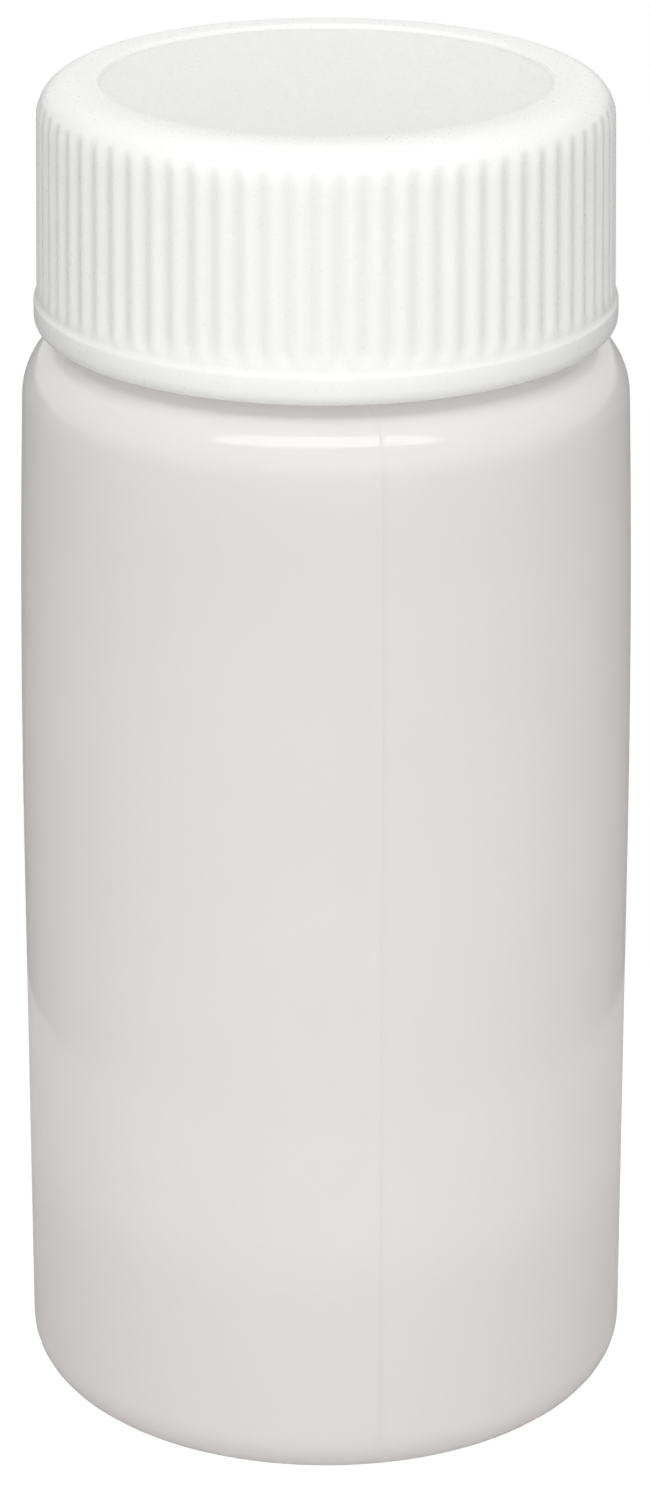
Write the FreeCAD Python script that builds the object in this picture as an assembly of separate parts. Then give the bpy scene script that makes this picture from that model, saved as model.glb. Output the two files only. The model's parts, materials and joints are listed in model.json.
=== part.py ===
import FreeCAD, Part
import math
import os

V = FreeCAD.Vector
UP = V(0, 0, 1)

# Lengths are in millimetres and angles in degrees.
# The vial stands upright on its foot ring at z = 0, with its axis on Z.

# Body, moulded in one piece with its neck and thread
BODY_DIAMETER = 27.4
BODY_WALL = 1.0
BASE_ROUND = 2.2
FOOT_INNER_DIAMETER = 19.0
FOOT_ROUND = 0.5
PUSH_UP_HEIGHT = 0.9

# The wall leans in a little below the shoulder, over a very long bend
LEAN_ANGLE = 1.8
LEAN_BEND_RADIUS = 650
LEAN_BEND_DROP = 12.9

# Shoulder, a large round into a tighter one and a narrow flat top
SHOULDER_HEIGHT = 49.35
SHOULDER_SLOPE_DROP = 1.35
SHOULDER_SLOPE_WIDTH = 1.04
SHOULDER_OUTER_ROUND = 3.1
SHOULDER_INNER_ROUND = 1.3

# Neck finish, measured as bottle makers do: bare neck, finish height and thread
NECK_DIAMETER = 19.56
NECK_WALL = 1.55
NECK_ROOT_ROUND = 0.5
FINISH_HEIGHT = 9.25
RIM_ROUND = 0.35

# Thread, single start and right-handed, in the same form on the neck and in the cap
THREAD_PITCH = 3.175
THREAD_DEPTH = 1.065
THREAD_FLANK_ANGLE = 30
THREAD_TURNS = 1.1
THREAD_RUN_OUT = 35
THREAD_END_SINK = 0.15
THREAD_EMBED = 0.5
THREAD_TOP_LAND = 1.0
THREAD_CREST_ROUND = 0.2
THREAD_START_ANGLE = 40
THREAD_RADIAL_PLAY = 0.155
THREAD_AXIAL_PLAY = 0.2

# Sealing disc, lying between the rim and the inside of the cap's top
LINER_THICKNESS = 1.0
LINER_EDGE_PLAY = 0.1

# Cap, moulded in one piece
CAP_TOP_THICKNESS = 1.4
CAP_WALL = 1.66
CAP_SHOULDER_GAP = 0.7
CAP_TOP_ROUND = 1.6
CAP_CORNER_ROUND = 0.3
CAP_LEAD_IN = 0.3
PANEL_DIAMETER = 19.7
PANEL_DEPTH = 0.2
PANEL_ROUND = 0.08

# Grip ribs and the plain band that they flare out to at the skirt's lower edge
RIB_COUNT = 72
RIB_SHARE = 0.62
RIB_DEPTH = 0.2
RIB_SKIN = 0.01
BAND_STEP = 0.13
BAND_HEIGHT = 1.32
BAND_LOWER_ROUND = 0.6
BAND_UPPER_ROUND = 0.25
FLARE_HEIGHT = 0.55
FLARE_ROUND = 1.5

# How far a cutting tool reaches past the surface that it cuts
OVERRUN = 0.3

# Drawing limits: the shortest edge that is drawn, and the angle between thread sections
SHORTEST_EDGE = 1e-5
THREAD_STEP_ANGLE = 12

# Places that follow from the sizes above
body_radius = BODY_DIAMETER / 2
neck_radius = NECK_DIAMETER / 2
rim_height = SHOULDER_HEIGHT + FINISH_HEIGHT
ceiling_height = rim_height + LINER_THICKNESS
cap_top = ceiling_height + CAP_TOP_THICKNESS
skirt_bottom = SHOULDER_HEIGHT + CAP_SHOULDER_GAP
skirt_bore_radius = neck_radius + THREAD_DEPTH + THREAD_RADIAL_PLAY
rib_radius = skirt_bore_radius + CAP_WALL

flank_run = THREAD_DEPTH * math.tan(math.radians(THREAD_FLANK_ANGLE))
thread_crest = (THREAD_PITCH - 2 * flank_run - 2 * THREAD_AXIAL_PLAY) / 2
thread_root = thread_crest + 2 * flank_run
thread_rise = THREAD_PITCH * THREAD_TURNS
neck_thread_bottom = rim_height - THREAD_TOP_LAND - thread_root / 2 - thread_rise
cap_thread_bottom = neck_thread_bottom - THREAD_PITCH / 2


def unit(a, b):
    """Direction from one point to another."""
    return (b - a).normalize()


def limited_reaches(points, reaches):
    """How far each corner's arc reaches along its sides, shared out where a side is too short."""
    limited = list(reaches)
    for i in range(len(points)):
        before = i - 1
        wanted = reaches[before] + reaches[i]
        length = points[before].distanceToPoint(points[i])
        if wanted > length:
            limited[before] = min(limited[before], reaches[before] * length / wanted)
            limited[i] = min(limited[i], reaches[i] * length / wanted)
    return limited


def rounded_outline(corners):
    """Closed wire in the XZ plane through corners (r, z, round), each with its arc."""
    points = [V(r, 0, z) for r, z, _ in corners]
    following = points[1:] + points[:1]
    backs = [unit(point, points[i - 1]) for i, point in enumerate(points)]
    aheads = [unit(point, after) for point, after in zip(points, following)]
    half_turns = [(math.pi - back.getAngle(ahead)) / 2 for back, ahead in zip(backs, aheads)]
    reaches = [corner[2] * math.tan(half) for corner, half in zip(corners, half_turns)]
    edges = []
    ends = []
    for point, back, ahead, half, reach in zip(points, backs, aheads, half_turns,
                                               limited_reaches(points, reaches)):
        start = point + back * reach
        end = point + ahead * reach
        if ends and ends[-1].distanceToPoint(start) > SHORTEST_EDGE:
            edges.append(Part.makeLine(ends[-1], start))
        if reach > 0:
            to_arc = reach * math.tan(half / 2)
            middle = point + (back + ahead).normalize() * to_arc
            edges.append(Part.Arc(start, middle, end).toShape())
        ends.append(end)
    edges.append(Part.makeLine(ends[-1], points[0]))
    return Part.Wire(edges)


def revolved(corners):
    """Solid of revolution about Z from the corners of its half section."""
    face = Part.Face(rounded_outline(corners))
    return face.revolve(V(0, 0, 0), UP, 360)


def inset(corners, walls):
    """Corners moved to the left of their path, walls[i] being the wall behind edge i."""
    lines = []
    for (r0, z0, _), (r1, z1, _), wall in zip(corners, corners[1:], walls):
        along = unit(V(r0, 0, z0), V(r1, 0, z1))
        left = V(-along.z, 0, along.x)
        lines.append((V(r0, 0, z0) + left * wall, along, wall))
    moved = []
    for (a, u, wall), (b, v, _), corner in zip(lines, lines[1:], corners[1:]):
        cross = u.x * v.z - u.z * v.x
        step = ((b.x - a.x) * v.z - (b.z - a.z) * v.x) / cross
        meeting = a + u * step
        bend = wall if cross > 0 else -wall
        moved.append((meeting.x, meeting.z, max(corner[2] - bend, 0)))
    return moved


def with_rounded_circle(shape, radius, height, size):
    """Rounds the circular edge of the given radius at the given height."""
    for edge in shape.Edges:
        if edge.Degenerated or not isinstance(edge.Curve, Part.Circle):
            continue
        off = abs(edge.Curve.Radius - radius) + abs(edge.Curve.Center.z - height)
        if off < SHORTEST_EDGE:
            return shape.makeFillet(size, [edge])
    raise ValueError("no circular edge of radius %.3f at height %.3f" % (radius, height))


def spherical_cap(radius, height):
    """Flat-bottomed cap of a ball, standing on z = 0."""
    ball_radius = (radius ** 2 + height ** 2) / (2 * height)
    half_angle = math.asin(radius / ball_radius) / 2
    middle = V(ball_radius * math.sin(half_angle), 0,
               height - ball_radius * (1 - math.cos(half_angle)))
    rim = V(radius, 0, 0)
    crown = V(0, 0, height)
    edges = [
        Part.makeLine(V(0, 0, 0), rim),
        Part.Arc(rim, middle, crown).toShape(),
        Part.makeLine(crown, V(0, 0, 0)),
    ]
    return Part.Face(Part.Wire(edges)).revolve(V(0, 0, 0), UP, 360)


def thread_section(angle, height, base_radius, outward, proud):
    """Axial section of the thread at one angle, its crest standing proud of the wall."""
    flank = math.radians(THREAD_FLANK_ANGLE)
    half_bend = (math.pi / 2 - flank) / 2
    half_crest = thread_crest / 2
    reach = THREAD_CREST_ROUND * math.tan(half_bend)
    foot_side = half_crest + (proud + THREAD_EMBED) * math.tan(flank)
    flank_side = half_crest + reach * math.sin(flank)
    round_side = half_crest - reach + THREAD_CREST_ROUND * math.sin(half_bend)
    crest_side = half_crest - reach
    flank_depth = proud - reach * math.cos(flank)
    round_depth = proud - THREAD_CREST_ROUND * (1 - math.cos(half_bend))

    def place(depth, z):
        r = base_radius + outward * depth
        return V(r * math.cos(angle), r * math.sin(angle), height + z)

    def side_of(sign):
        foot = place(-THREAD_EMBED, sign * foot_side)
        flank_end = place(flank_depth, sign * flank_side)
        middle = place(round_depth, sign * round_side)
        crest_end = place(proud, sign * crest_side)
        arc = Part.Arc(flank_end, middle, crest_end).toShape()
        return foot, crest_end, [Part.makeLine(foot, flank_end), arc]

    upper_foot, upper_crest, upper_edges = side_of(1)
    lower_foot, lower_crest, lower_edges = side_of(-1)
    ends = [Part.makeLine(lower_foot, upper_foot), Part.makeLine(lower_crest, upper_crest)]
    return Part.Wire(Part.__sortEdges__(upper_edges + lower_edges + ends))


def thread(base_radius, outward, bottom):
    """One thread on a wall, its two ends sinking smoothly into it."""
    sweep = 360 * THREAD_TURNS
    step_count = math.ceil(sweep / THREAD_STEP_ANGLE)
    sections = []
    for i in range(step_count + 1):
        travelled = sweep * i / step_count
        to_end = min(travelled, sweep - travelled)
        grown = math.sin(math.pi / 2 * min(to_end / THREAD_RUN_OUT, 1))
        proud = (THREAD_DEPTH + THREAD_END_SINK) * grown - THREAD_END_SINK
        angle = math.radians(THREAD_START_ANGLE + travelled)
        height = bottom + THREAD_PITCH * travelled / 360
        sections.append(thread_section(angle, height, base_radius, outward, proud))
    return Part.makeLoft(sections, True, False)


def body_corners():
    """Half section of the body's outside, from the middle of the base to the middle of the mouth."""
    bend_height = SHOULDER_HEIGHT - LEAN_BEND_DROP
    slope_height = SHOULDER_HEIGHT - SHOULDER_SLOPE_DROP
    leaned_in = (slope_height - bend_height) * math.tan(math.radians(LEAN_ANGLE))
    slope_radius = body_radius - leaned_in
    return [
        (0, 0, 0),
        (body_radius, 0, BASE_ROUND),
        (body_radius, bend_height, LEAN_BEND_RADIUS),
        (slope_radius, slope_height, SHOULDER_OUTER_ROUND),
        (slope_radius - SHOULDER_SLOPE_WIDTH, SHOULDER_HEIGHT, SHOULDER_INNER_ROUND),
        (neck_radius, SHOULDER_HEIGHT, NECK_ROOT_ROUND),
        (neck_radius, rim_height, RIM_ROUND),
        (0, rim_height, 0),
    ]


def make_vial():
    """Bottle body with a pushed-up base, an even wall, a thicker neck and its thread."""
    outside = body_corners()
    walls = [BODY_WALL] * 5 + [NECK_WALL]
    inside = inset(outside, walls)
    bore_radius = neck_radius - NECK_WALL
    above = rim_height + OVERRUN
    cavity = revolved([(0, BODY_WALL, 0)] + inside + [(bore_radius, above, 0), (0, above, 0)])
    push_up = spherical_cap(FOOT_INNER_DIAMETER / 2, PUSH_UP_HEIGHT)
    cavity = cavity.cut(push_up.translated(V(0, 0, BODY_WALL)))
    body = revolved(outside).cut(push_up).cut(cavity)
    body = with_rounded_circle(body, FOOT_INNER_DIAMETER / 2, 0, FOOT_ROUND)
    body = with_rounded_circle(body, bore_radius, rim_height, RIM_ROUND)
    return body.fuse(thread(neck_radius, 1, neck_thread_bottom))


def make_liner():
    """Die-cut disc of soft foam that the cap presses on the rim."""
    radius = skirt_bore_radius - CAP_CORNER_ROUND - LINER_EDGE_PLAY
    return Part.makeCylinder(radius, LINER_THICKNESS, V(0, 0, rim_height))


def make_fluted_prism():
    """Upright prism of rounded ribs and narrower rounded valleys, from inside the band up."""
    pitch = 2 * math.pi / RIB_COUNT
    half_rib = pitch * RIB_SHARE / 2
    edge_radius = rib_radius - RIB_DEPTH * RIB_SHARE
    valley_radius = rib_radius - RIB_DEPTH
    bottom = skirt_bottom + BAND_HEIGHT / 2

    def place(radius, angle):
        return V(radius * math.cos(angle), radius * math.sin(angle), bottom)

    edges = []
    for i in range(RIB_COUNT):
        centre = pitch * i
        before = place(edge_radius, centre - half_rib)
        after = place(edge_radius, centre + half_rib)
        following = place(edge_radius, centre + pitch - half_rib)
        valley = place(valley_radius, centre + pitch / 2)
        edges.append(Part.Arc(before, place(rib_radius, centre), after).toShape())
        edges.append(Part.Arc(after, valley, following).toShape())
    plan = Part.Face(Part.Wire(edges))
    return plan.extrude(UP * (cap_top + OVERRUN - bottom))


def make_grip():
    """Ribbed outside of the cap, solid, its ribs fading into the rounded top edge."""
    blank_radius = rib_radius + RIB_SKIN
    blank = revolved([
        (0, skirt_bottom, 0),
        (blank_radius, skirt_bottom, 0),
        (blank_radius, cap_top, CAP_TOP_ROUND),
        (0, cap_top, 0),
    ])
    return blank.common(make_fluted_prism())


def make_band():
    """Plain band at the lower edge, solid, with the flare that closes the valleys."""
    band_radius = rib_radius + BAND_STEP
    band_top = skirt_bottom + BAND_HEIGHT
    flare_top = band_top + FLARE_HEIGHT + FLARE_ROUND
    hidden_radius = rib_radius - RIB_DEPTH - RIB_SKIN
    return revolved([
        (0, skirt_bottom, 0),
        (band_radius, skirt_bottom, BAND_LOWER_ROUND),
        (band_radius, band_top, BAND_UPPER_ROUND),
        (hidden_radius, band_top + FLARE_HEIGHT, FLARE_ROUND),
        (hidden_radius, flare_top, 0),
        (0, flare_top, 0),
    ])


def make_hollow():
    """Space inside the cap, with the thread standing out of its wall."""
    below = skirt_bottom - OVERRUN
    space = revolved([
        (0, below, 0),
        (skirt_bore_radius + CAP_LEAD_IN, below, 0),
        (skirt_bore_radius + CAP_LEAD_IN, skirt_bottom, 0),
        (skirt_bore_radius, skirt_bottom + CAP_LEAD_IN, 0),
        (skirt_bore_radius, ceiling_height, CAP_CORNER_ROUND),
        (0, ceiling_height, 0),
    ])
    return space.cut(thread(skirt_bore_radius, -1, cap_thread_bottom))


def make_cap():
    """Screw cap: ribs above a plain band, a sunk top panel, and a threaded hollow inside."""
    panel_radius = PANEL_DIAMETER / 2
    panel = Part.makeCylinder(panel_radius, PANEL_DEPTH + OVERRUN, V(0, 0, cap_top - PANEL_DEPTH))
    outside = make_grip().fuse(make_band())
    cap = outside.cut(make_hollow().fuse(panel))
    return with_rounded_circle(cap, panel_radius, cap_top, PANEL_ROUND)


def export(name, shape):
    """Writes one solid under its piece's name."""
    shape = shape.removeSplitter()
    solid = shape.Solids[0]
    if len(shape.Solids) != 1 or not solid.isValid():
        raise ValueError("%s is not one sound solid" % name)
    solid.exportStep("parts/%s.step" % name)
    print(name, "volume %.1f mm3, area %.1f mm2" % (solid.Volume, solid.Area))


os.makedirs("parts", exist_ok=True)
export("vial", make_vial())
export("liner", make_liner())
export("cap", make_cap())
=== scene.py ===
import json
import math

import bpy
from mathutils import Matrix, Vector

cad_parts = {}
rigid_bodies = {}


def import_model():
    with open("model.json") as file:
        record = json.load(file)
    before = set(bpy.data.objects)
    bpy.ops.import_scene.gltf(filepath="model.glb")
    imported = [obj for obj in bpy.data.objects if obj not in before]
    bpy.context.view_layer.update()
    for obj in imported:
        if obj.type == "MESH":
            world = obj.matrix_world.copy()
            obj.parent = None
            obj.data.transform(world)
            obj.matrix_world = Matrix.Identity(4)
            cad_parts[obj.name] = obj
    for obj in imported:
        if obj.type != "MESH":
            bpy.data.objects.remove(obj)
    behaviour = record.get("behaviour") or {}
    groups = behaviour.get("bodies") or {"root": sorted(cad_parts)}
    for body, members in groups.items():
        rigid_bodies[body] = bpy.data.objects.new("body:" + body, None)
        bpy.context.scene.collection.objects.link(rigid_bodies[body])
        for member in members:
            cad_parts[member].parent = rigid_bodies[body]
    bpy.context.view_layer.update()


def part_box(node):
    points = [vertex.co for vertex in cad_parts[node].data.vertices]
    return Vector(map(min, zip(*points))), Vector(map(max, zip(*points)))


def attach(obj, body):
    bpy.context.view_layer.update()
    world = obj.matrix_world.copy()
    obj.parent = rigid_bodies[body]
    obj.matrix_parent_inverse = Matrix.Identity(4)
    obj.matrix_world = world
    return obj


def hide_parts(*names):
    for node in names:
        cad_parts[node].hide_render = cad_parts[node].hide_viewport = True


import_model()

# Sizes are in metres, written as millimetres, and angles are in radians.
MM = 0.001

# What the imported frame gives
vial_low, vial_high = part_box("vial")
liner_low, liner_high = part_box("liner")
cap_low, cap_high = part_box("cap")
body_radius = (vial_high.y - vial_low.y) / 2
rim_height = vial_high.z
liner_radius = (liner_high.y - liner_low.y) / 2
ceiling_height = liner_high.z
cap_top = cap_high.z
skirt_bottom = cap_low.z
band_radius = (cap_high.y - cap_low.y) / 2

# Body
WALL = 1.0 * MM
BASE_ROUND = 2.2 * MM
FOOT_INNER_RADIUS = 9.5 * MM
PUSH_UP_HEIGHT = 0.9 * MM
LEAN_ANGLE = math.radians(1.8)
LEAN_BEND_RADIUS = 650 * MM
LEAN_BEND_DROP = 12.9 * MM
FINISH_HEIGHT = 9.25 * MM
SHOULDER_SLOPE_DROP = 1.35 * MM
SHOULDER_SLOPE_WIDTH = 1.04 * MM
SHOULDER_OUTER_ROUND = 3.1 * MM
SHOULDER_INNER_ROUND = 1.3 * MM
NECK_RADIUS = 9.78 * MM
NECK_WALL = 1.55 * MM
NECK_ROOT_ROUND = 0.5 * MM
RIM_ROUND = 0.35 * MM
PARTING_LINE_ANGLE = math.radians(-80)
PARTING_RIDGE_WIDTH = 0.12 * MM
PARTING_RIDGE_HEIGHT = 0.028 * MM
BODY_STEPS = 216

# Thread, the same form on the neck and in the cap
THREAD_PITCH = 3.175 * MM
THREAD_DEPTH = 1.065 * MM
THREAD_FLANK_ANGLE = math.radians(30)
THREAD_TURNS = 1.1
THREAD_RUN_OUT = 6.0 * MM
THREAD_END_SINK = 0.15 * MM
THREAD_EMBED = 0.5 * MM
THREAD_TOP_LAND = 1.0 * MM
THREAD_CREST_ROUND = 0.2 * MM
THREAD_START_ANGLE = math.radians(40)
THREAD_RADIAL_PLAY = 0.155 * MM
THREAD_AXIAL_PLAY = 0.2 * MM
THREAD_STEP_ANGLE = math.radians(4)

# Cap
CAP_TOP_ROUND = 1.6 * MM
CAP_CORNER_ROUND = 0.3 * MM
CAP_LEAD_IN = 0.3 * MM
PANEL_RADIUS = 9.85 * MM
PANEL_DEPTH = 0.2 * MM
PANEL_ROUND = 0.08 * MM
RIB_COUNT = 72
RIB_COLUMNS = 8
RIB_SHARE = 0.62
RIB_DEPTH = 0.2 * MM
RIB_EDGE_DROP = 0.124 * MM
RIB_DRAFT = 0.13 * MM
BAND_STEP = 0.13 * MM
BAND_HEIGHT = 1.32 * MM
BAND_LOWER_ROUND = 0.6 * MM
BAND_UPPER_ROUND = 0.25 * MM
FLARE_SLOPE_HEIGHT = 0.21 * MM
FLARE_HEIGHT = 0.9 * MM
FLARE_ROWS = 6

# Sealing disc
LINER_EDGE_ROUND = 0.06 * MM
LINER_STEPS = 144

# Modelling: the plane that starts an outline, how near points merge, and what stays sharp
SEED_SIDE = 1 * MM
MERGE_DISTANCE = 0.002 * MM
JOIN_MERGE_DISTANCE = 0.01 * MM
SMOOTH_ANGLE = math.radians(35)

shoulder_height = rim_height - FINISH_HEIGHT
skirt_bore_radius = NECK_RADIUS + THREAD_DEPTH + THREAD_RADIAL_PLAY
flank_run = THREAD_DEPTH * math.tan(THREAD_FLANK_ANGLE)
thread_crest = (THREAD_PITCH - 2 * flank_run - 2 * THREAD_AXIAL_PLAY) / 2
thread_root = thread_crest + 2 * flank_run
neck_thread_bottom = (rim_height - THREAD_TOP_LAND - thread_root / 2
                      - THREAD_PITCH * THREAD_TURNS)
cap_thread_bottom = neck_thread_bottom - THREAD_PITCH / 2
rib_pitch = 2 * math.pi / RIB_COUNT
rib_radius = band_radius - BAND_STEP
band_top = skirt_bottom + BAND_HEIGHT
rib_bottom = band_top + FLARE_SLOPE_HEIGHT
rib_top = cap_top - CAP_TOP_ROUND


# Drawing and turning outlines

def begin_outline(name, point):
    """A new object that holds one vertex, open in edit mode."""
    bpy.ops.object.select_all(action="DESELECT")
    bpy.ops.mesh.primitive_plane_add(size=SEED_SIDE, location=point)
    bpy.ops.object.transform_apply(location=True, rotation=False, scale=False)
    piece = bpy.context.active_object
    piece.name = name
    piece.data.name = name
    bpy.ops.object.mode_set(mode="EDIT")
    bpy.ops.mesh.select_mode(type="VERT")
    bpy.ops.mesh.select_all(action="SELECT")
    bpy.ops.mesh.merge(type="CENTER")
    return piece


def extrude_by(step):
    """Draws one straight edge on from the selected vertex."""
    bpy.ops.mesh.extrude_region_move(TRANSFORM_OT_translate={"value": step})


def draw_outline(name, corners):
    """Edge chain in the XZ plane through corners (radius, height, round, arc steps)."""
    points = [Vector((radius, 0, height)) for radius, height, _, _ in corners]
    piece = begin_outline(name, points[0])
    at = points[0]
    for before, point, after, corner in zip(points, points[1:], points[2:], corners[1:]):
        size, steps = corner[2:]
        back = (before - point).normalized()
        ahead = (after - point).normalized()
        half_turn = (math.pi - back.angle(ahead)) / 2
        reach = size * math.tan(half_turn)
        extrude_by(point + back * reach - at)
        at = point + ahead * reach
        if size > 0:
            centre = point + (back + ahead).normalized() * size / math.cos(half_turn)
            side = 1 if back.cross(ahead).y > 0 else -1
            bpy.ops.mesh.spin(steps=steps, angle=side * 2 * half_turn, center=centre,
                              axis=(0, 1, 0))
    extrude_by(points[-1] - at)
    return piece


def merge_points(distance):
    """Merges, in edit mode, all points that lie within a distance of each other."""
    bpy.ops.mesh.select_all(action="SELECT")
    bpy.ops.mesh.remove_doubles(threshold=distance)


def turn_outline(steps, angle):
    """Turns the whole outline about the Z axis into a surface with closed poles."""
    bpy.ops.mesh.select_all(action="SELECT")
    bpy.ops.mesh.spin(steps=steps, angle=angle, center=(0, 0, 0), axis=(0, 0, 1))
    merge_points(MERGE_DISTANCE)


def face_outwards():
    """Turns every face of a closed surface outwards."""
    bpy.ops.mesh.select_all(action="SELECT")
    bpy.ops.mesh.normals_make_consistent(inside=False)


def select_in_edit(piece, kind, rule):
    """Selects, in edit mode, only the vertices or only the edges that a rule names."""
    bpy.ops.mesh.select_all(action="DESELECT")
    bpy.ops.mesh.select_mode(type=kind)
    bpy.ops.object.mode_set(mode="OBJECT")
    for item in {"VERT": piece.data.vertices, "EDGE": piece.data.edges}[kind]:
        item.select = rule(item)
    bpy.ops.object.mode_set(mode="EDIT")


def apply_modifier(piece, name, kind, **settings):
    """Adds one modifier in object mode and applies it."""
    modifier = piece.modifiers.new(name, kind)
    for key, value in settings.items():
        setattr(modifier, key, value)
    bpy.context.view_layer.objects.active = piece
    bpy.ops.object.modifier_apply(modifier=name)


def select_only(piece):
    """Selects one object and makes it the active one."""
    bpy.ops.object.select_all(action="DESELECT")
    piece.select_set(True)
    bpy.context.view_layer.objects.active = piece


def smooth(piece):
    """Smooth shading that keeps true corners sharp."""
    select_only(piece)
    bpy.ops.object.shade_smooth_by_angle(angle=SMOOTH_ANGLE)


def make_thread(name, wall_radius, outward, bottom):
    """One thread turned about the axis, its two ends sinking into the wall."""
    proud_radius = wall_radius + outward * THREAD_DEPTH
    foot_radius = wall_radius - outward * THREAD_EMBED
    half_crest = thread_crest / 2
    half_foot = half_crest + (THREAD_DEPTH + THREAD_EMBED) * math.tan(THREAD_FLANK_ANGLE)
    lower_foot = Vector((foot_radius, 0, bottom - half_foot))
    upper_foot = Vector((foot_radius, 0, bottom + half_foot))
    piece = draw_outline(name, [
        (foot_radius, bottom - half_foot, 0, 0),
        (proud_radius, bottom - half_crest, THREAD_CREST_ROUND, 3),
        (proud_radius, bottom + half_crest, THREAD_CREST_ROUND, 3),
        (foot_radius, bottom + half_foot, 0, 0),
    ])
    extrude_by(lower_foot - upper_foot)
    merge_points(MERGE_DISTANCE)
    bpy.ops.object.mode_set(mode="OBJECT")
    sweep = 2 * math.pi * THREAD_TURNS
    steps = round(sweep / THREAD_STEP_ANGLE)
    apply_modifier(piece, "helix", "SCREW", axis="Z", angle=sweep,
                   screw_offset=THREAD_PITCH * THREAD_TURNS, steps=steps,
                   render_steps=steps, use_merge_vertices=False)
    bpy.ops.object.mode_set(mode="EDIT")
    bpy.ops.mesh.select_all(action="SELECT")
    bpy.ops.mesh.fill_holes(sides=0)
    face_outwards()
    sink_ends(piece, outward, foot_radius, sweep, steps)
    bpy.ops.object.mode_set(mode="OBJECT")
    piece.rotation_euler.z = THREAD_START_ANGLE
    bpy.ops.object.transform_apply(location=False, rotation=True, scale=False)
    return piece


def sink_ends(piece, outward, foot_radius, sweep, steps):
    """Sinks both ends of a thread's crest into the wall, while its root stays in place."""
    count = len(piece.data.vertices)
    section_count = count // (steps + 1)
    inward = -outward * (THREAD_DEPTH + THREAD_END_SINK)
    # Hidden points aren't moved
    select_in_edit(piece, "VERT",
                   lambda vertex: abs(vertex.co.xy.length - foot_radius) < MERGE_DISTANCE)
    bpy.ops.mesh.hide(unselected=False)
    for first, angle in ((0, 0), (count - section_count, sweep)):
        last = first + section_count
        select_in_edit(piece, "VERT",
                       lambda vertex: first <= vertex.index < last and not vertex.hide)
        bpy.ops.transform.translate(
            value=(inward * math.cos(angle), inward * math.sin(angle), 0),
            use_proportional_edit=True, use_proportional_connected=True,
            proportional_edit_falloff="SHARP", proportional_size=THREAD_RUN_OUT)
    bpy.ops.mesh.reveal(select=False)


def join_solid(piece, tool):
    """Joins a second solid to a piece as one closed surface, without the join's tiny edges."""
    apply_modifier(piece, "join", "BOOLEAN", operation="UNION", solver="EXACT", object=tool)
    bpy.data.objects.remove(tool)
    select_only(piece)
    bpy.ops.object.mode_set(mode="EDIT")
    merge_points(JOIN_MERGE_DISTANCE)
    bpy.ops.object.mode_set(mode="OBJECT")


# The three pieces

def make_body(materials):
    """Body in its outside and inside materials: wall, neck, parting ridge, rim and thread."""
    bend_height = shoulder_height - LEAN_BEND_DROP
    slope_height = shoulder_height - SHOULDER_SLOPE_DROP
    slope_radius = body_radius - (slope_height - bend_height) * math.tan(LEAN_ANGLE)
    push_up_radius = (FOOT_INNER_RADIUS ** 2 + PUSH_UP_HEIGHT ** 2) / (2 * PUSH_UP_HEIGHT)
    push_up_half = math.asin(FOOT_INNER_RADIUS / push_up_radius) / 2
    knee = push_up_radius * math.tan(push_up_half)
    body = draw_outline("vial_body", [
        (0, PUSH_UP_HEIGHT, 0, 0),
        (knee, PUSH_UP_HEIGHT, push_up_radius, 8),
        (FOOT_INNER_RADIUS, 0, 0, 0),
        (body_radius, 0, BASE_ROUND, 8),
        (body_radius, bend_height, LEAN_BEND_RADIUS, 6),
        (slope_radius, slope_height, SHOULDER_OUTER_ROUND, 8),
        (slope_radius - SHOULDER_SLOPE_WIDTH, shoulder_height, SHOULDER_INNER_ROUND, 6),
        (NECK_RADIUS, shoulder_height, NECK_ROOT_ROUND, 5),
        (NECK_RADIUS, rim_height, 0, 0),
    ])
    turn_outline(BODY_STEPS, 2 * math.pi)
    face_outwards()
    bpy.ops.object.mode_set(mode="OBJECT")
    outer_count = len(body.data.vertices)
    thickness = body.vertex_groups.new(name="thickness")
    for vertex in body.data.vertices:
        rise = min(max((vertex.co.z - shoulder_height) / NECK_ROOT_ROUND, 0), 1)
        wall = WALL + (NECK_WALL - WALL) * rise
        thickness.add([vertex.index], wall / NECK_WALL, "REPLACE")
    for material in materials:
        body.data.materials.append(material)
    apply_modifier(body, "wall", "SOLIDIFY", thickness=NECK_WALL, offset=-1,
                   use_even_offset=True, vertex_group="thickness", material_offset=1)
    bpy.ops.object.mode_set(mode="EDIT")
    raise_parting_ridge(body, outer_count)
    round_rim(body)
    bpy.ops.object.mode_set(mode="OBJECT")
    join_solid(body, make_thread("neck_thread", NECK_RADIUS, 1, neck_thread_bottom))
    smooth(body)
    return body


def raise_parting_ridge(body, outer_count):
    """Fine raised line on the outside where the two mould halves met."""
    def on_parting_line(vertex):
        outside = vertex.index < outer_count
        in_reach = BASE_ROUND < vertex.co.z <= shoulder_height + WALL
        across = (vertex.co.x * math.sin(PARTING_LINE_ANGLE)
                  - vertex.co.y * math.cos(PARTING_LINE_ANGLE))
        return outside and in_reach and abs(across) < MERGE_DISTANCE

    vertices = body.data.vertices
    select_in_edit(body, "EDGE", lambda edge: all(
        on_parting_line(vertices[index]) for index in edge.vertices))
    bpy.ops.mesh.bevel(offset=PARTING_RIDGE_WIDTH / 2, segments=2, affect="EDGES",
                       clamp_overlap=True)
    # Only the bevel's middle line stays selected
    bpy.ops.mesh.select_mode(type="VERT")
    bpy.ops.mesh.select_less()
    bpy.ops.transform.shrink_fatten(value=PARTING_RIDGE_HEIGHT)


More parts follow.
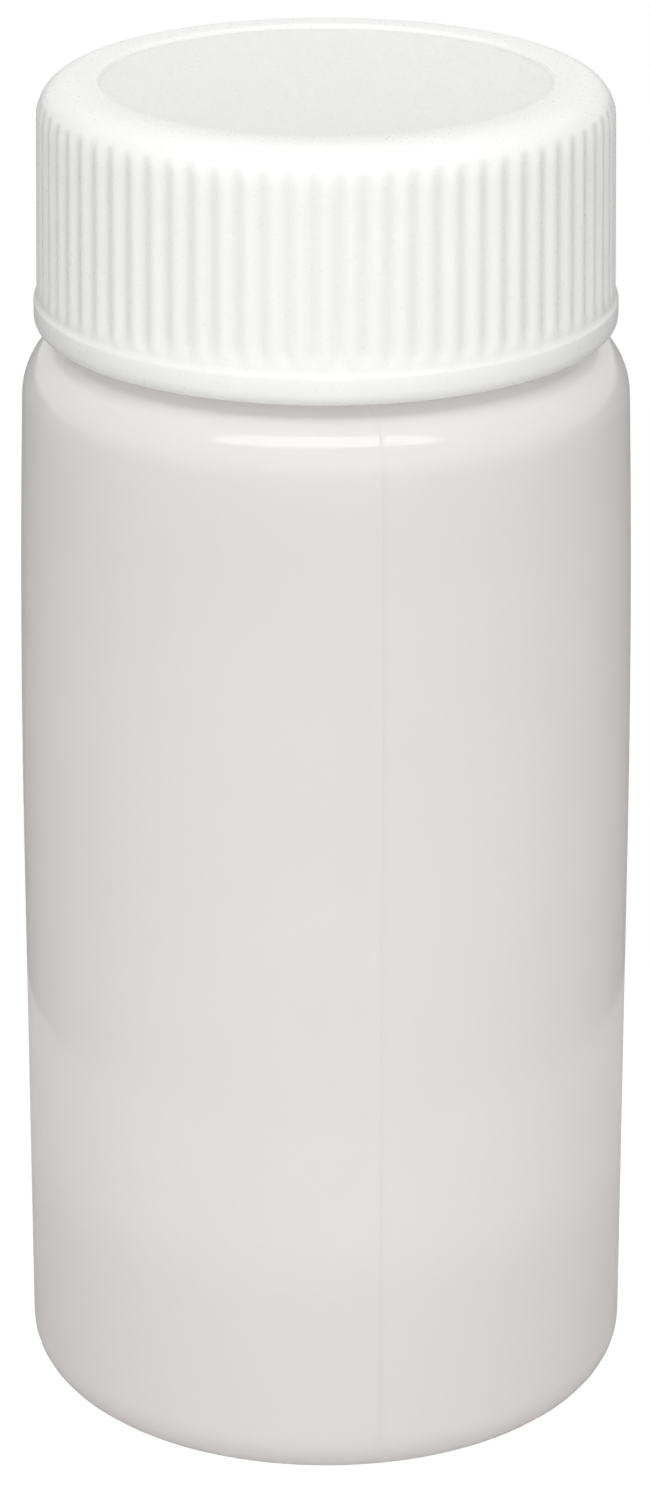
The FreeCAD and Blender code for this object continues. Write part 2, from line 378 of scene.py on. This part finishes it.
def round_rim(body):
    """Rounds the two circles of the rim that the cap's disc seals on."""
    def on_rim(edge):
        ends = [body.data.vertices[index].co for index in edge.vertices]
        level = all(abs(end.z - rim_height) < MERGE_DISTANCE for end in ends)
        return level and abs(ends[0].xy.length - ends[1].xy.length) < MERGE_DISTANCE

    select_in_edit(body, "EDGE", on_rim)
    bpy.ops.mesh.bevel(offset=RIM_ROUND, segments=4, affect="EDGES")


def rib_drop(angle):
    """How far the rib's surface lies below its crest at an angle from the rib's middle."""
    half_rib = rib_pitch * RIB_SHARE / 2
    off = abs(angle)
    if off < half_rib:
        return RIB_EDGE_DROP * (off / half_rib) ** 2
    to_valley = (rib_pitch / 2 - off) / (rib_pitch / 2 - half_rib)
    return RIB_DEPTH - (RIB_DEPTH - RIB_EDGE_DROP) * to_valley ** 2


def crest_radius(height):
    """Radius over the ribs' crests, which lean in towards the top as the mould's draft asks."""
    share = (height - rib_bottom) / (rib_top - rib_bottom)
    return rib_radius - RIB_DRAFT * share


def make_cap():
    """Screw cap: one rib's sector of the whole section, copied round, and the thread."""
    flare_heights = [rib_bottom + FLARE_HEIGHT * (row + 1) / FLARE_ROWS
                     for row in reversed(range(FLARE_ROWS))]
    cap = draw_outline("screw_cap", [
        (0, cap_top - PANEL_DEPTH, 0, 0),
        (PANEL_RADIUS, cap_top - PANEL_DEPTH, PANEL_ROUND, 3),
        (PANEL_RADIUS, cap_top, PANEL_ROUND, 3),
        (crest_radius(cap_top), cap_top, CAP_TOP_ROUND, 14),
        *((crest_radius(height), height, 0, 0) for height in flare_heights),
        (rib_radius, rib_bottom, 0, 0),
        (band_radius, band_top, BAND_UPPER_ROUND, 4),
        (band_radius, skirt_bottom, BAND_LOWER_ROUND, 6),
        (skirt_bore_radius + CAP_LEAD_IN, skirt_bottom, 0, 0),
        (skirt_bore_radius, skirt_bottom + CAP_LEAD_IN, 0, 0),
        (skirt_bore_radius, ceiling_height, CAP_CORNER_ROUND, 3),
        (0, ceiling_height, 0, 0),
    ])
    turn_outline(RIB_COLUMNS, rib_pitch)
    face_outwards()
    bpy.ops.object.mode_set(mode="OBJECT")
    press_in_valleys(cap)
    bpy.ops.object.mode_set(mode="EDIT")
    bpy.ops.mesh.select_all(action="SELECT")
    bpy.ops.mesh.spin(steps=RIB_COUNT, dupli=True, angle=2 * math.pi, center=(0, 0, 0),
                      axis=(0, 0, 1))
    merge_points(MERGE_DISTANCE)
    face_outwards()
    bpy.ops.object.mode_set(mode="OBJECT")
    join_solid(cap, make_thread("cap_thread", skirt_bore_radius, -1, cap_thread_bottom))
    smooth(cap)
    return cap


def press_in_valleys(sector):
    """Presses the space between two ribs into the sector, fading out at both ends."""
    valley = sector.vertex_groups.new(name="valley")
    for vertex in sector.data.vertices:
        height = vertex.co.z
        radius = vertex.co.xy.length
        from_crest = crest_radius(height) - radius
        if height < rib_bottom or from_crest > RIB_DEPTH or radius < skirt_bore_radius:
            continue
        angle = math.atan2(vertex.co.y, vertex.co.x)
        angle = (angle + rib_pitch / 2) % rib_pitch - rib_pitch / 2
        rise = min((height - rib_bottom) / FLARE_HEIGHT, 1)
        fade = (1 - max(from_crest, 0) / RIB_DEPTH) * rise * rise * (3 - 2 * rise)
        valley.add([vertex.index], fade * rib_drop(angle) / RIB_DEPTH, "REPLACE")
    apply_modifier(sector, "valleys", "DISPLACE", strength=-RIB_DEPTH, mid_level=0,
                   vertex_group="valley")


def make_liner():
    """Soft disc between the rim and the inside of the cap's top."""
    liner = draw_outline("sealing_disc", [
        (0, rim_height, 0, 0),
        (liner_radius, rim_height, LINER_EDGE_ROUND, 2),
        (liner_radius, ceiling_height, LINER_EDGE_ROUND, 2),
        (0, ceiling_height, 0, 0),
    ])
    turn_outline(LINER_STEPS, 2 * math.pi)
    face_outwards()
    bpy.ops.object.mode_set(mode="OBJECT")
    smooth(liner)
    return liner


# Materials

PLASTIC_IOR = 1.5

# Natural polyethylene of the body, tinted by height, darker towards the foot as painted shade,
# and how much light its two faces pass on
MILKY = (0.986, 0.972, 0.967)
MILKY_SHOULDER = (0.978, 0.976, 0.968)
# Painted shade: the foot's darker colour stands for the shadow under the vial seen through the
# wall; the random clouds use the same colour
MILKY_SHADE_AND_CLOUD = (0.948, 0.931, 0.926)
FOOT_SHADE_HEIGHTS = (9 * MM, 12 * MM)
SHOULDER_TINT_HEIGHTS = (37 * MM, 47 * MM)
MILKY_CLOUD_SHARE = 0.25
MILKY_ROUGHNESS = (0.06, 0.14)
MILKY_COAT_ROUGHNESS = 0.035
MILKY_GRAIN_SHARE = 0.12
MILKY_RELIEF = 0.012 * MM
OUTSIDE_PASSING = 0.5
INSIDE_PASSING = 0.92

# White polypropylene of the cap
CAP_WHITE = (0.905, 0.905, 0.89)
CAP_CLOUDED = (0.88, 0.88, 0.865)
CAP_CLOUD_SHARE = 0.4
CAP_SCATTER = 0.9 * MM
CAP_ROUGHNESS = (0.26, 0.4)
CAP_GRAIN_SHARE = 0.04
CAP_RELIEF = 0.05 * MM
PANEL_EXTRA_ROUGHNESS = 0.3

# The panel's grain fades in over a stretch inside its edge, and over one below the cap's top
PANEL_MASK_MARGINS = (0.12 * MM, 0.05 * MM)
PANEL_MASK_DEPTHS = (1.5 * PANEL_DEPTH, 1.2 * PANEL_DEPTH)

# White foam of the sealing disc, and how far across its cell a pore reaches
FOAM_WHITE = (0.88, 0.88, 0.86)
FOAM_PORE = (0.74, 0.74, 0.72)
FOAM_ROUGHNESS = (0.6, 0.8)
FOAM_RELIEF = 0.05 * MM
PORE_REACH = 0.6

# Patterns: waves or cells per metre, and the part of a noise's range that is used
CLOUD_SCALE = 160
WAVE_SCALE = 420
GRAIN_SCALE = 7000
PANEL_GRAIN_SCALE = 4200
PORE_SCALE = 3500
CLOUD_RANGE = (0.35, 0.65)
GRAIN_RANGE = (0.3, 0.7)


def new_material(name):
    """A material with only its output node."""
    material = bpy.data.materials.new(name)
    material.use_nodes = True
    tree = material.node_tree
    tree.nodes.clear()
    output = tree.nodes.new("ShaderNodeOutputMaterial")
    return material, tree, output


def principled(tree, **sockets):
    """A Principled shader with the sockets that are the same all over."""
    shader = tree.nodes.new("ShaderNodeBsdfPrincipled")
    for key, value in sockets.items():
        shader.inputs[key.replace("_", " ")].default_value = value
    return shader


def mix_to_output(tree, output, share, first, second):
    """Mixes two shaders, the second by its share, as what the material puts out."""
    mix = tree.nodes.new("ShaderNodeMixShader")
    plug(tree, share, mix.inputs["Fac"])
    tree.links.new(first, mix.inputs[1])
    tree.links.new(second, mix.inputs[2])
    tree.links.new(mix.outputs[0], output.inputs["Surface"])


def plug(tree, value, socket):
    """Sets a socket to a number or a colour, or links another node's output to it."""
    if isinstance(value, (int, float)):
        socket.default_value = value
    elif isinstance(value, tuple):
        socket.default_value = (*value, 1)
    else:
        tree.links.new(value, socket)


def calculate(tree, operation, *values):
    """The result of one sum on numbers and other nodes' outputs."""
    node = tree.nodes.new("ShaderNodeMath")
    node.operation = operation
    for value, socket in zip(values, node.inputs):
        plug(tree, value, socket)
    return node.outputs[0]


def spread(tree, value, low, high, to_low=0, to_high=1):
    """Maps a value from one range to another, and holds it at the ends."""
    node = tree.nodes.new("ShaderNodeMapRange")
    names = ("Value", "From Min", "From Max", "To Min", "To Max")
    for name, part in zip(names, (value, low, high, to_low, to_high)):
        plug(tree, part, node.inputs[name])
    return node.outputs["Result"]


def blend(tree, share, first, second, kind="Color"):
    """Mixes two colours, or two numbers where the kind is Float, the second by its share."""
    node = tree.nodes.new("ShaderNodeMix")
    node.data_type = "RGBA" if kind == "Color" else "FLOAT"
    # Found by identifier, because the node repeats its sockets' names for each kind
    sockets = {socket.identifier: socket for socket in (*node.inputs, *node.outputs)}
    names = ("Factor_Float", f"A_{kind}", f"B_{kind}")
    for name, value in zip(names, (share, first, second)):
        plug(tree, value, sockets[name])
    return sockets[f"Result_{kind}"]


def object_place(tree):
    """Place on the piece, in the frame's metres."""
    return tree.nodes.new("ShaderNodeTexCoord").outputs["Object"]


def parts_of(tree, vector):
    """X, Y and Z of a vector, as outputs by name."""
    split = tree.nodes.new("ShaderNodeSeparateXYZ")
    tree.links.new(vector, split.inputs[0])
    return split.outputs


def noise(tree, scale, detail):
    """Noise between 0 and 1 over the piece, in waves per metre."""
    node = tree.nodes.new("ShaderNodeTexNoise")
    node.inputs["Scale"].default_value = scale
    node.inputs["Detail"].default_value = detail
    tree.links.new(object_place(tree), node.inputs["Vector"])
    return node.outputs["Fac"]


def bump(tree, height, shader, distance):
    """Raises the shader's surface by a height between 0 and 1, in metres at 1."""
    node = tree.nodes.new("ShaderNodeBump")
    node.inputs["Strength"].default_value = 1
    node.inputs["Distance"].default_value = distance
    tree.links.new(height, node.inputs["Height"])
    tree.links.new(node.outputs["Normal"], shader.inputs["Normal"])
    return node.outputs["Normal"]


def make_skin_group():
    """Moulded plastic: slow clouds, long waves, fine grain and the roughness that follows it."""
    group = bpy.data.node_groups.new("moulded_skin", "ShaderNodeTree")
    for name in ("Smoothest", "Roughest"):
        group.interface.new_socket(name, in_out="INPUT", socket_type="NodeSocketFloat")
    for name in ("Clouds", "Waves", "Grain", "Roughness"):
        group.interface.new_socket(name, in_out="OUTPUT", socket_type="NodeSocketFloat")
    given = group.nodes.new("NodeGroupInput").outputs
    clouds = noise(group, CLOUD_SCALE, detail=3)
    grain = noise(group, GRAIN_SCALE, detail=2)
    patterns = {
        "Clouds": spread(group, clouds, *CLOUD_RANGE),
        "Waves": noise(group, WAVE_SCALE, detail=1),
        "Grain": grain,
        "Roughness": spread(group, grain, *GRAIN_RANGE, given["Smoothest"], given["Roughest"]),
    }
    ends = group.nodes.new("NodeGroupOutput")
    for name, pattern in patterns.items():
        group.links.new(pattern, ends.inputs[name])
    return group


skin_group = make_skin_group()


def skin_patterns(tree, roughness):
    """The shared skin patterns with a material's own roughness range, as outputs by name."""
    node = tree.nodes.new("ShaderNodeGroup")
    node.node_tree = skin_group
    for name, value in zip(("Smoothest", "Roughest"), roughness):
        node.inputs[name].default_value = value
    return node.outputs


def polyethylene(name, passing):
    """Milky plastic skin that sends part of the light back and passes the rest on, softly."""
    material, tree, output = new_material(name)
    skin = principled(tree, IOR=PLASTIC_IOR, Coat_Weight=1.0,
                      Coat_Roughness=MILKY_COAT_ROUGHNESS, Coat_IOR=PLASTIC_IOR)
    patterns = skin_patterns(tree, MILKY_ROUGHNESS)
    height = parts_of(tree, object_place(tree))["Z"]
    # Painted shade: the tint darkens towards the foot, standing for the shadow under the vial
    # seen through the wall
    above_foot_shade = spread(tree, height, *FOOT_SHADE_HEIGHTS)
    near_shoulder = spread(tree, height, *SHOULDER_TINT_HEIGHTS)
    clouds = spread(tree, patterns["Clouds"], 0, 1, MILKY_CLOUD_SHARE, 0)
    tint = blend(tree, above_foot_shade, MILKY_SHADE_AND_CLOUD, MILKY)
    tint = blend(tree, near_shoulder, tint, MILKY_SHOULDER)
    tint = blend(tree, clouds, tint, MILKY_SHADE_AND_CLOUD)
    tree.links.new(tint, skin.inputs["Base Color"])
    tree.links.new(patterns["Roughness"], skin.inputs["Roughness"])
    relief = calculate(tree, "MULTIPLY_ADD", patterns["Grain"], MILKY_GRAIN_SHARE,
                       patterns["Waves"])
    normal = bump(tree, relief, skin, MILKY_RELIEF)
    tree.links.new(normal, skin.inputs["Coat Normal"])
    through = tree.nodes.new("ShaderNodeBsdfTranslucent")
    tree.links.new(tint, through.inputs["Color"])
    mix_to_output(tree, output, passing, skin.outputs["BSDF"], through.outputs["BSDF"])
    return material


def panel_mask(tree):
    """Output that is 1 on the cap's sunk panel and 0 elsewhere."""
    place = parts_of(tree, object_place(tree))
    flat = tree.nodes.new("ShaderNodeCombineXYZ")
    tree.links.new(place["X"], flat.inputs["X"])
    tree.links.new(place["Y"], flat.inputs["Y"])
    radius = tree.nodes.new("ShaderNodeVectorMath")
    radius.operation = "LENGTH"
    tree.links.new(flat.outputs[0], radius.inputs[0])
    inner, outer = (PANEL_RADIUS - margin for margin in PANEL_MASK_MARGINS)
    lower, upper = (cap_top - depth for depth in PANEL_MASK_DEPTHS)
    inside = spread(tree, radius.outputs["Value"], inner, outer, 1, 0)
    on_top = spread(tree, place["Z"], lower, upper)
    return calculate(tree, "MULTIPLY", inside, on_top)


def cap_material():
    """White polypropylene, matt and fine-grained on the sunk panel, satin elsewhere."""
    material, tree, output = new_material("white_polypropylene")
    shader = principled(tree, IOR=PLASTIC_IOR, Subsurface_Weight=1.0,
                        Subsurface_Radius=(1, 1, 1), Subsurface_Scale=CAP_SCATTER)
    patterns = skin_patterns(tree, CAP_ROUGHNESS)
    panel = panel_mask(tree)
    panel_grain = noise(tree, PANEL_GRAIN_SCALE, detail=3)
    speckle = calculate(tree, "MULTIPLY", panel, spread(tree, panel_grain, *GRAIN_RANGE))
    clouds = spread(tree, patterns["Clouds"], 0, 1, 0, CAP_CLOUD_SHARE)
    tint = blend(tree, clouds, CAP_WHITE, CAP_CLOUDED)
    tint = blend(tree, speckle, tint, CAP_CLOUDED)
    tree.links.new(tint, shader.inputs["Base Color"])
    roughness = calculate(tree, "MULTIPLY_ADD", panel, PANEL_EXTRA_ROUGHNESS,
                          patterns["Roughness"])
    tree.links.new(roughness, shader.inputs["Roughness"])
    relief = calculate(tree, "MULTIPLY_ADD", patterns["Grain"], CAP_GRAIN_SHARE, speckle)
    bump(tree, relief, shader, CAP_RELIEF)
    tree.links.new(shader.outputs["BSDF"], output.inputs["Surface"])
    return material


def liner_material():
    """Closed-cell polyethylene foam with fine pores."""
    material, tree, output = new_material("white_foam")
    shader = principled(tree, IOR=PLASTIC_IOR)
    patterns = skin_patterns(tree, FOAM_ROUGHNESS)
    cells = tree.nodes.new("ShaderNodeTexVoronoi")
    cells.inputs["Scale"].default_value = PORE_SCALE
    tree.links.new(object_place(tree), cells.inputs["Vector"])
    pores = spread(tree, cells.outputs["Distance"], 0, PORE_REACH, 1, 0)
    tint = blend(tree, pores, FOAM_WHITE, FOAM_PORE)
    tree.links.new(tint, shader.inputs["Base Color"])
    tree.links.new(patterns["Roughness"], shader.inputs["Roughness"])
    bump(tree, cells.outputs["Distance"], shader, FOAM_RELIEF)
    tree.links.new(shader.outputs["BSDF"], output.inputs["Surface"])
    return material


def dress(piece, body, node):
    """Gives a piece its body and hides the CAD part that it takes the place of."""
    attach(piece, body)
    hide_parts(node)


body = make_body([polyethylene("natural_polyethylene", OUTSIDE_PASSING),
                  polyethylene("natural_polyethylene_inside", INSIDE_PASSING)])
cap = make_cap()
cap.data.materials.append(cap_material())
liner = make_liner()
liner.data.materials.append(liner_material())
dress(body, "vial", "vial")
dress(cap, "cap", "cap")
dress(liner, "liner", "liner")


# Studio

CAMERA_DISTANCE = 240.3 * MM
CAMERA_PITCH = math.radians(21.05)
CAMERA_AIM_HEIGHT = 30.27 * MM
CAMERA_SIDE_STEP = -0.045 * MM
CAMERA_NEAREST = 10 * MM

# Lens, in pixels of the photograph and in Blender's millimetres of sensor
FOCAL_PIXELS = 5320
PHOTO_HEIGHT = 1486
SENSOR = 36

# Lamps: power in watts, width and height, and angle above level
LAMP_DISTANCE = 600 * MM
SOFTBOX_POWER = 1.4
SOFTBOX_SIZE = (950 * MM, 200 * MM)
SOFTBOX_ELEVATION = math.radians(49)
FILL_POWER = 1.85
FILL_SIZE = (800 * MM, 400 * MM)
FILL_ELEVATION = math.radians(8)

# The room's light, where a strength of 1 is white
SEEN_WHITE = 1
SKY = 0.55
BACK_SKY = 0.5
ROOM_FLOOR = 0.28
HORIZON_BLUR = 0.05

# Table top, and how much of its own glow each way of looking at it shows
FLOOR_DROP = 0.02 * MM
TABLE_RADIUS = 48 * MM
TABLE_STEPS = 96
TABLE_GREY = (0.5, 0.5, 0.5, 1)
TABLE_ROUGHNESS = 0.6
TABLE_GLOW = 1.2
TABLE_SEEN_SHARE = 0.8
TABLE_REFLECTED_SHARE = 0.1


def make_camera():
    """Camera where the photograph was taken from."""
    data = bpy.data.cameras.new("camera")
    data.sensor_width = SENSOR
    data.lens = FOCAL_PIXELS * SENSOR / PHOTO_HEIGHT
    data.clip_start = CAMERA_NEAREST
    camera = bpy.data.objects.new("camera", data)
    bpy.context.scene.collection.objects.link(camera)
    camera.location = (CAMERA_SIDE_STEP, -CAMERA_DISTANCE * math.cos(CAMERA_PITCH),
                       CAMERA_AIM_HEIGHT + CAMERA_DISTANCE * math.sin(CAMERA_PITCH))
    camera.rotation_euler = (math.pi / 2 - CAMERA_PITCH, 0, 0)
    bpy.context.scene.camera = camera


def make_lamp(name, power, size, elevation, in_gloss):
    """Soft oval lamp in front of the vial that faces the cap, unseen by the camera."""
    data = bpy.data.lights.new(name, "AREA")
    data.shape = "ELLIPSE"
    data.size, data.size_y = size
    data.energy = power
    lamp = bpy.data.objects.new(name, data)
    bpy.context.scene.collection.objects.link(lamp)
    lamp.location = (0, -LAMP_DISTANCE * math.cos(elevation),
                     cap_top + LAMP_DISTANCE * math.sin(elevation))
    lamp.rotation_euler = (math.pi / 2 - elevation, 0, 0)
    lamp.visible_camera = False
    lamp.visible_glossy = in_gloss


def looking_rays(tree):
    """Two outputs that are 1 for rays that look: straight only, and also in gloss or through."""
    rays = tree.nodes.new("ShaderNodeLightPath").outputs
    straight = rays["Is Camera Ray"]
    any_way = straight
    for kind in ("Is Glossy Ray", "Is Transmission Ray"):
        any_way = calculate(tree, "MAXIMUM", any_way, rays[kind])
    return straight, any_way


def make_world():
    """White to look at; as light, a room brightest behind the vial, over a dark floor."""
    world = bpy.data.worlds.new("studio")
    bpy.context.scene.world = world
    world.use_nodes = True
    tree = world.node_tree
    tree.nodes.clear()
    output = tree.nodes.new("ShaderNodeOutputWorld")
    background = tree.nodes.new("ShaderNodeBackground")
    background.inputs["Color"].default_value = (1, 1, 1, 1)
    direction = parts_of(tree, tree.nodes.new("ShaderNodeTexCoord").outputs["Generated"])
    straight, any_way = looking_rays(tree)
    backwards = calculate(tree, "MAXIMUM", direction["Y"], 0)
    sky = calculate(tree, "MULTIPLY_ADD", backwards, BACK_SKY, SKY)
    upwards = spread(tree, direction["Z"], -HORIZON_BLUR, HORIZON_BLUR)
    room = blend(tree, any_way, sky, SEEN_WHITE, "Float")
    room = blend(tree, upwards, ROOM_FLOOR, room, "Float")
    room = blend(tree, straight, room, SEEN_WHITE, "Float")
    tree.links.new(room, background.inputs["Strength"])
    tree.links.new(background.outputs[0], output.inputs["Surface"])


def make_floor():
    """Round pale table top that keeps the vial's soft shadow."""
    bpy.ops.object.select_all(action="DESELECT")
    bpy.ops.mesh.primitive_circle_add(vertices=TABLE_STEPS, radius=TABLE_RADIUS,
                                      fill_type="NGON", location=(0, 0, -FLOOR_DROP))
    bpy.ops.object.transform_apply(location=True, rotation=False, scale=False)
    floor = bpy.context.active_object
    floor.name = "table_top"
    material, tree, output = new_material("white_table")
    surface = principled(tree, Base_Color=TABLE_GREY, Roughness=TABLE_ROUGHNESS)
    glow = tree.nodes.new("ShaderNodeEmission")
    glow.inputs["Strength"].default_value = TABLE_GLOW
    straight, any_way = looking_rays(tree)
    reflected = calculate(tree, "MULTIPLY", any_way, TABLE_REFLECTED_SHARE)
    share = calculate(tree, "MULTIPLY_ADD", straight,
                      TABLE_SEEN_SHARE - TABLE_REFLECTED_SHARE, reflected)
    mix_to_output(tree, output, share, surface.outputs["BSDF"], glow.outputs[0])
    floor.data.materials.append(material)


make_camera()
make_lamp("softbox", SOFTBOX_POWER, SOFTBOX_SIZE, SOFTBOX_ELEVATION, in_gloss=True)
make_lamp("front_fill", FILL_POWER, FILL_SIZE, FILL_ELEVATION, in_gloss=False)
make_world()
make_floor()
bpy.context.scene.view_settings.view_transform = "Standard"
